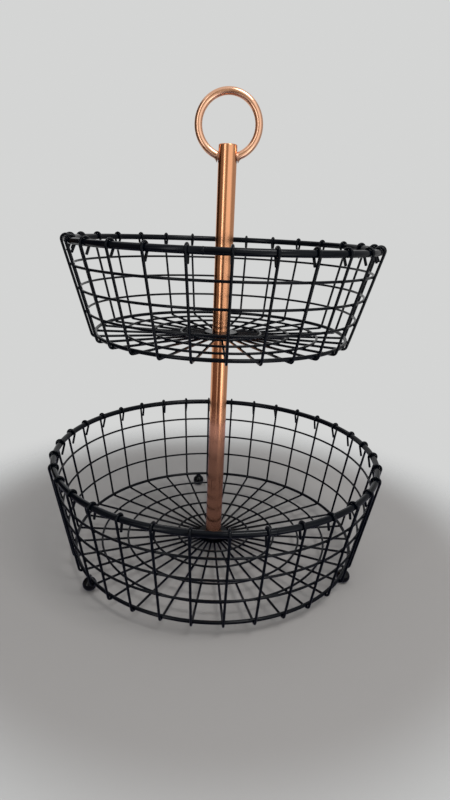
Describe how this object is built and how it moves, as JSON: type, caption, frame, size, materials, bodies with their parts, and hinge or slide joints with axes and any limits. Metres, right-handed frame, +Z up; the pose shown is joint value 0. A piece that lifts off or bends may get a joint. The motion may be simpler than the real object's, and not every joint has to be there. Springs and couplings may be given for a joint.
{
  "type": "tiered wire basket",
  "caption": "Tiered round wire basket: a smaller basket above a larger one on a central copper-finish post with a carry ring on top and ball feet.",
  "frame": {"origin": "on the surface that the basket stands on, on the post's axis", "axes": "+Z up along the post, +X to the right and +Y away from someone who looks at the carry ring face on"},
  "size_m": [0.3448, 0.3438, 0.4598],
  "materials": {
    "black_wire": "satin black powder coat on steel wire",
    "black_ball": "gloss black paint on a steel ball",
    "zinc_steel": "plain zinc-plated steel",
    "copper": "polished copper plate on steel tube and rod"
  },
  "bodies": {
    "lower_basket": {"lower_rim": "black_wire", "lower_base_ring": "black_wire", "lower_wall_ring_1": "black_wire", "lower_wall_ring_2": "black_wire", "lower_wall_ring_3": "black_wire", "lower_floor_ring_1": "black_wire", "lower_floor_ring_2": "black_wire", "lower_floor_ring_3": "black_wire", "lower_floor_ring_4": "black_wire", "lower_ribs": "black_wire", "lower_hub_plate": "black_wire", "lower_hub_washer": "black_wire", "lower_post": "copper", "lower_post_bottom_plug": "zinc_steel", "lower_post_top_plug": "zinc_steel", "joining_stud": "zinc_steel", "hub_screw": "zinc_steel", "hub_screw_washer": "zinc_steel", "foot_ball_back": "black_ball", "foot_ball_front_left": "black_ball", "foot_ball_front_right": "black_ball", "foot_peg_back": "black_wire", "foot_peg_front_left": "black_wire", "foot_peg_front_right": "black_wire"},
    "upper_basket": {"upper_rim": "black_wire", "upper_base_ring": "black_wire", "upper_wall_ring_1": "black_wire", "upper_wall_ring_2": "black_wire", "upper_wall_ring_3": "black_wire", "upper_floor_ring_1": "black_wire", "upper_floor_ring_2": "black_wire", "upper_floor_ring_3": "black_wire", "upper_ribs": "black_wire", "upper_hub_plate": "black_wire"},
    "clamp_washer": {"clamp_washer": "black_wire"},
    "handle": {"handle_post": "copper", "handle_plug": "zinc_steel", "carry_ring": "copper", "carry_ring_braze": "copper"}
  },
  "joints": [
    {"name": "upper_basket_turn", "type": "hinge", "parent": "lower_basket", "child": "upper_basket", "pos_m": [0, 0, 0.2394], "axis": [0, 0, 1], "continuous": true},
    {"name": "handle_turn", "type": "hinge", "parent": "lower_basket", "child": "clamp_washer", "pos_m": [0, 0, 0.2417], "axis": [0, 0, 1], "range_deg": [0, 3600]},
    {"name": "handle_rise", "type": "slide", "parent": "clamp_washer", "child": "handle", "axis": [0, 0, 1], "range_m": [0, 0.0125]}
  ],
  "couplings": [
    {"joint": "handle_rise", "follows": "handle_turn", "m_per_rad": 0.00019894}
  ]
}
